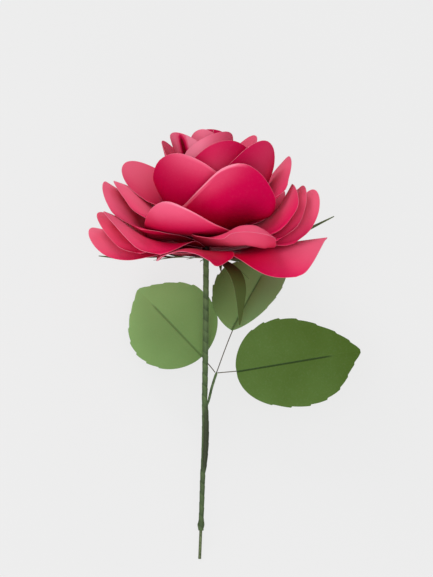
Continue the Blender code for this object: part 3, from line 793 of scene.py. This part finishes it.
def roundBar(name, path, radii, sides, values, material, bore=None):
    # radii holds one number, or one number for each side, at every step of the path
    path = np.array(path)
    tangent = np.gradient(path, axis=0)
    tangent /= np.linalg.norm(tangent, axis=1, keepdims=True)
    side = np.cross(tangent, (0, 1, 0))
    side /= np.linalg.norm(side, axis=1, keepdims=True)
    other = np.cross(side, tangent)
    angle = 2 * np.pi * np.arange(sides) / sides
    radii = np.broadcast_to(np.asarray(radii, float).reshape(len(path), -1), (len(path), sides))

    def rings(r):
        flat = np.cos(angle)[None, :, None] * side[:, None]
        flat = flat + np.sin(angle)[None, :, None] * other[:, None]
        return path[:, None] + flat * r[..., None]

    points = rings(radii).reshape(-1, 3)
    count = len(path)
    if bore:
        inside = rings(np.full((count, sides), bore))[::-1].reshape(-1, 3)
        points = np.concatenate([points, inside])
    # A tube runs out along its outside, back along its bore and joins up; a rod gets two ends
    total = count * (2 if bore else 1)
    faces = []
    for j in range(total if bore else total - 1):
        below, above = j * sides, (j + 1) % total * sides
        for k in range(sides):
            after = (k + 1) % sides
            faces.append((below + k, below + after, above + after, above + k))
    if not bore:
        faces.append(tuple(range(sides - 1, -1, -1)))
        faces.append(tuple((count - 1) * sides + k for k in range(sides)))
    rims = (0, count - 1, count, total - 1) if bore else (0, count - 1)
    sharp = [tuple(sorted((j * sides + k, j * sides + (k + 1) % sides)))
             for j in rims for k in range(sides)]
    full = {k: np.resize(v, len(points)) for k, v in values.items()}
    return addPiece(name, points, faces, full, [material], sharp=sharp)


def makeStem():
    s = stemShape
    path = [stemPoint(z) for z in np.linspace(s["coreTop"], s["end"], s["wireSteps"])]
    bar = roundBar("stemWire", path, [s["wireRadius"]] * len(path), s["wireSides"], {},
                   stemWireFinish)
    wear(bar, "stem_wire")
    sides = s["tapeSides"]
    z = np.linspace(s["coreTop"] - s["endGap"], s["tapeEnd"] - s["endGap"], s["tapeSteps"])
    plain = mix(s["tapeRadius"], s["lowerRadius"], ease(s["slimFrom"], s["tapeEnd"], z))
    plain += (s["coreRadius"] - s["tapeRadius"]) * ease(*s["coreFrom"], z)
    plain += s["knot"] * np.exp(-((z - s["knotHeight"]) / s["knotLength"]) ** 2)
    along = np.clip((z - s["bulgeBottom"]) / (s["bulgeTop"] - s["bulgeBottom"]), 0, 1)
    swell = np.sin(np.pi * along ** s["bulgeCurve"][0]) ** s["bulgeCurve"][1]
    swell = (s["bulge"] * swell)[:, None]
    around = np.arange(sides) / sides
    lay = (z[:, None] / s["pitch"] + around[None]) % 1
    # Each turn of tape laps over the one before: a slow rise, then the lap's edge
    lap = lay * (1 - ease(s["lapEdge"], 1, lay))
    ridge = np.where(z[:, None] > s["plainAbove"], 0, s["ridge"] * lap)
    # The sprig's wires are wound in on the right, where the stem is thicker and darker
    right = np.maximum(np.cos(2 * np.pi * around), s["bulgeBack"])
    wound = ease(*s["woundSwell"], swell / s["bulge"]) * ease(*s["woundSide"], right)
    wound = wound + s["darkAmount"] * ease(*s["darkBelow"], z)[:, None]
    topShade = np.repeat(ease(*s["topShadeAbove"], z), sides)
    bar = roundBar("stemTape", [stemPoint(v) for v in z], plain[:, None] + ridge + swell * right,
                   sides, dict(lay=lap.ravel(), topShade=topShade, wound=wound.ravel()),
                   floralTape, s["wireRadius"] + s["gap"])
    wear(bar, "stem_tape")


makeStem()
print("stem wound")

# Leaves and their sprig. Rows lie at rowStart and on by rowSpan of the length, closer at the
# ends; each tooth is two steps long and is drawn by the rows in toothSteps.
leafShape = dict(length=.077, width=.056, thickness=.0003, teeth=9, toothDepth=.0009, plainSteps=4,
                 rowStart=.002, rowSpan=.994, rowCurve=.94, bowRise=1.6, bowEnd=.3,
                 toothFrom=(.16, .24), toothTo=(.95, .98), toothBand=(.8, 1), widest=.44,
                 tipCurve=2.1, footWidth=.0006, toothSteps=(0, .15, .45, .8, 1.15, 1.5, 1.85),
                 across=(.012, .03, .06, .11, .18, .27, .37, .48, .6, .72, .84, .93, 1),
                 wireSides=12, wireRadius=.0003, wireGap=.0004, onLeaf=(.08, .3, .52, .75))
sprigShape = dict(node=(.0062, .0026, -.0695), jointHeight=-.083, gap=.0004, radius=.0008,
                  ahead=.001, wound=(-.0011, -.0002, -.0055), past=.0008, sag=-.0003, turns=3.2,
                  lapLow=.93, lapRise=.1, footTaper=(-.1, .3), tipTaper=(.94, 1), tipSlim=.35,
                  sides=16, smooth=24, wireSmooth=14)
# bends are points on a leaf's wire between the sprig and the leaf, start is where it leaves the
# sprig's node, base the leaf's foot, heading and face its directions. paleAndLit is how pale a
# leaf is painted, partly its own tone and partly painted light for how it is lit; paleAndLitLong
# and paleAndLitAside how that grows along and across it, groove how dark the painted shade in
# its midrib is.
leaves = [
    dict(name="leaf_left", bends=[(.0028, .0048, -.0655)], base=(-.0022, .0046, -.0592),
         heading=(-.0405, .036, .0408), face=(-.35, -.8, .45), start=(-.00075, .0003, .00075),
         skew=0, cup=4, droop=.003, long=.9, wide=1, paleAndLit=.82, paleAndLitLong=.55, paleAndLitAside=0,
         groove=.4),
    dict(name="leaf_back", bends=[(.0105, .0054, -.0575), (.0146, .0077, -.047)],
         base=(.0155, .0075, -.0437), heading=(.029, .064, .053), face=(-.15, -.8, .45),
         start=(.0002, .00055, .00075), skew=0, cup=30, droop=.004, long=1, wide=.85, paleAndLit=1.15,
         paleAndLitLong=0, paleAndLitAside=-.6, groove=.6),
    dict(name="leaf_right", bends=[], base=(.0182, .0035, -.0684), heading=(.0765, .006, .0125),
         face=(0, -1, .06), start=(.00075, -.0001, .00045), skew=-.2, cup=3, droop=.002, long=1,
         wide=.97, paleAndLit=.12, paleAndLitLong=-.1, paleAndLitAside=0, groove=1)]


def leafHalfWidth(t):
    # A quarter ellipse up to the widest place, then a long curve to the tip
    widest = leafShape["widest"]
    base = math.sqrt(max(1 - (1 - min(t / widest, 1)) ** 2, 0))
    return base * (1 - max((t - widest) / (1 - widest), 0) ** leafShape["tipCurve"])


def leafPlace(row):
    # The leaf's foot, its way to the tip and the way its face looks, square to that
    base, heading, face = (Vector(row[key]) for key in ("base", "heading", "face"))
    heading = heading.normalized()
    return base, heading, (face - heading * face.dot(heading)).normalized()


def leafSheet(row):
    # Rows from base to tip; the cut teeth rise slowly toward the tip and drop at their ends
    s = leafShape
    base, heading, face = leafPlace(row)
    side = face.cross(heading)
    cup = math.radians(row["cup"])
    length, half = s["length"] * row["long"], s["width"] * row["wide"] / 2
    last = s["teeth"] * 2 + s["plainSteps"]
    steps = [2 * k + f for k in range(last // 2) for f in s["toothSteps"]] + [last]
    across = [-a for a in reversed(s["across"])] + [0] + list(s["across"])
    rows, values = [], dict(along=[], aside=[], paleAndLit=[], groove=[])
    for f in steps:
        t = (1 - math.cos(math.pi * (f / last) ** s["rowCurve"])) / 2
        t = s["rowStart"] + s["rowSpan"] * t
        reach = leafHalfWidth(t) * half + s["footWidth"]
        cut = s["toothDepth"] * (1 - f % 2 / 2) if f % 2 else 0
        cut *= float(ease(*s["toothFrom"], t) * (1 - ease(*s["toothTo"], t)))
        bow = math.sin(math.pi * min(t * s["bowRise"], 1) / 2)
        bow *= float(ease(0, s["bowEnd"], 1 - t))
        line = []
        for a in across:
            v = a * (reach - cut * float(ease(*s["toothBand"], abs(a))))
            u = length * t + row["skew"] * v * bow
            lift = abs(v) * math.sin(cup) - row["droop"] * (u / length) ** 2
            line.append(base + heading * u + side * (v * math.cos(cup)) + face * lift)
            aside = v * 1000
            paleAndLit = row["paleAndLit"] + row["paleAndLitLong"] * (t - .5) + row["paleAndLitAside"] * aside / 20
            for key, value in zip(values, (t, aside, paleAndLit, row["groove"])):
                values[key].append(value)
        rows.append(line)
    return rows, values


def makeSprig():
    s = sprigShape
    node = Vector(s["node"])
    beside = stemShape["tapeRadius"] + stemShape["ridge"] + s["radius"] + s["gap"]
    joint = Vector(stemPoint(s["jointHeight"])) + Vector((beside, s["ahead"], 0))
    # Its lower end is wound in under the stem's own tape
    under = joint + Vector(s["wound"])
    over = node + (node - joint).normalized() * s["past"]
    middle = (joint + node) / 2 + Vector((s["sag"], 0, 0))
    path = smoothPath([under, joint, middle, over], s["smooth"])
    around = np.arange(s["sides"]) / s["sides"]
    run = np.linspace(0, 1, len(path))[:, None]
    lay = (run * s["turns"] + around[None]) % 1
    slim = ease(*s["footTaper"], run) - ease(*s["tipTaper"], run) * s["tipSlim"]
    radii = s["radius"] * (s["lapLow"] + s["lapRise"] * lay) * slim
    bar = roundBar("sprigTape", path, radii, s["sides"], dict(lay=lay.ravel(), topShade=[0]),
                   floralTape)
    wear(bar, "sprig_tape")
    for row in leaves:
        makeLeaf(row, node)


def makeLeaf(row, node):
    s = leafShape
    rows, values = leafSheet(row)
    points = [tuple(p) for line in rows for p in line]
    side = row["name"].split("_")[1]
    piece = cutCard("leaf" + side.capitalize(), points,
                    gridFaces(len(rows) - 1, len(rows[0]) - 1), s["thickness"], values,
                    leafPaper, leafEdge)
    wear(piece, row["name"])
    # Its wire runs behind the midrib
    base, heading, face = leafPlace(row)
    behind = face * -(s["thickness"] / 2 + s["wireRadius"] + s["wireGap"])
    line = [node + Vector(row["start"])] + [Vector(p) for p in row["bends"]]
    for t in s["onLeaf"]:
        line.append(base + heading * s["length"] * row["long"] * t
                    - face * row["droop"] * t * t + behind)
    path = smoothPath(line, sprigShape["wireSmooth"])
    bar = roundBar("sprigWire" + side.capitalize(), path, [s["wireRadius"]] * len(path),
                   s["wireSides"], {}, sprigWireFinish)
    wear(bar, "sprig_wire_" + side)


makeSprig()
print("sprig made")

# Floor, lights and camera. A lamp's place and aim are in the standing flower's directions.
studio = dict(floor=(.84, .84, .84), floorGlow=.9, floorSize=4, world=.46)
lamps = dict(
    keyLight=dict(place=(-.5, -.6, 1.15), aim=(0, 0, .02), size=.55, power=5.2),
    fillLight=dict(place=(-.1, -1.3, -.1), aim=(0, 0, -.03), size=1.2, power=7.6),
    topLight=dict(place=(.15, .1, 1.1), aim=(0, 0, .03), size=.6, power=2),
    lowLight=dict(place=(.1, -.8, -.9), aim=(0, 0, 0), size=.9, power=4.5))


def makeFloor():
    # It glows plainly where the camera sees it, and still takes the flower's shadow
    size = studio["floorSize"]
    mesh = bpy.data.meshes.new("floor")
    mesh.from_pydata([(-size, -size, 0), (size, -size, 0), (size, size, 0), (-size, size, 0)], [],
                     [(0, 1, 2, 3)])
    floor = addObject("floor", mesh)
    paint = Paint("floorPaper", Roughness=.95, Specular_IOR_Level=0)
    paint.feed(Base_Color=studio["floor"])
    rays = paint.node("LightPath").socket.node.outputs
    seen = Wire(paint, rays["Is Camera Ray"]) + Wire(paint, rays["Is Glossy Ray"])
    glow = paint.node("Emission", Color=studio["floor"], Strength=1)
    node = paint.node("MixShader", Fac=seen * studio["floorGlow"]).socket.node
    paint.tree.links.new(paint.shader.outputs[0], node.inputs[1])
    paint.tree.links.new(glow.socket, node.inputs[2])
    output = next(n for n in paint.tree.nodes if n.type == "OUTPUT_MATERIAL")
    paint.tree.links.new(node.outputs[0], output.inputs[0])
    mesh.materials.append(paint.material)


def softLight(name, place, aim, size, power):
    data = bpy.data.lights.new(name, "AREA")
    data.shape, data.size, data.energy = "DISK", size, power
    light = addObject(name, data)
    start, end = laid @ Vector(place), laid @ Vector(aim)
    light.location = start
    light.rotation_euler = (end - start).to_track_quat("-Z", "Y").to_euler()


# The photo's scale and the pixel where the stem meets the lowest petals; lengths in metres,
# but for the sensor, which is in millimetres
photo = dict(height=577, centre=(216.5, 288.5), metresPerPixel=.0006, stemX=206, petalBaseY=258,
             distance=1.1, sensor=36, nearest=.05, furthest=20)


def makeCamera():
    data = bpy.data.cameras.new("camera")
    camera = addObject("camera", data)
    x = (photo["centre"][0] - photo["stemX"]) * photo["metresPerPixel"]
    z = (photo["petalBaseY"] - photo["centre"][1]) * photo["metresPerPixel"]
    level = Matrix.Rotation(math.radians(90), 4, "X")  # a camera looks down until it is turned
    camera.matrix_world = laid @ Matrix.Translation((x, -photo["distance"], z)) @ level
    data.sensor_fit = "VERTICAL"
    data.sensor_height = data.sensor_width = photo["sensor"]
    tall = photo["height"] * photo["metresPerPixel"]
    data.lens = photo["sensor"] * photo["distance"] / tall
    data.clip_start, data.clip_end = photo["nearest"], photo["furthest"]
    bpy.context.scene.camera = camera


def makeWorld():
    world = bpy.data.worlds.new("studio")
    world.use_nodes = True
    background = world.node_tree.nodes["Background"]
    background.inputs["Color"].default_value = (1, 1, 1, 1)
    background.inputs["Strength"].default_value = studio["world"]
    bpy.context.scene.world = world


makeFloor()
for name, lamp in lamps.items():
    softLight(name, **lamp)
makeWorld()
bpy.context.scene.view_settings.view_transform = "Standard"
makeCamera()
placed.sort(reverse=True)
print("furthest from the frame, mm:", placed[:6])
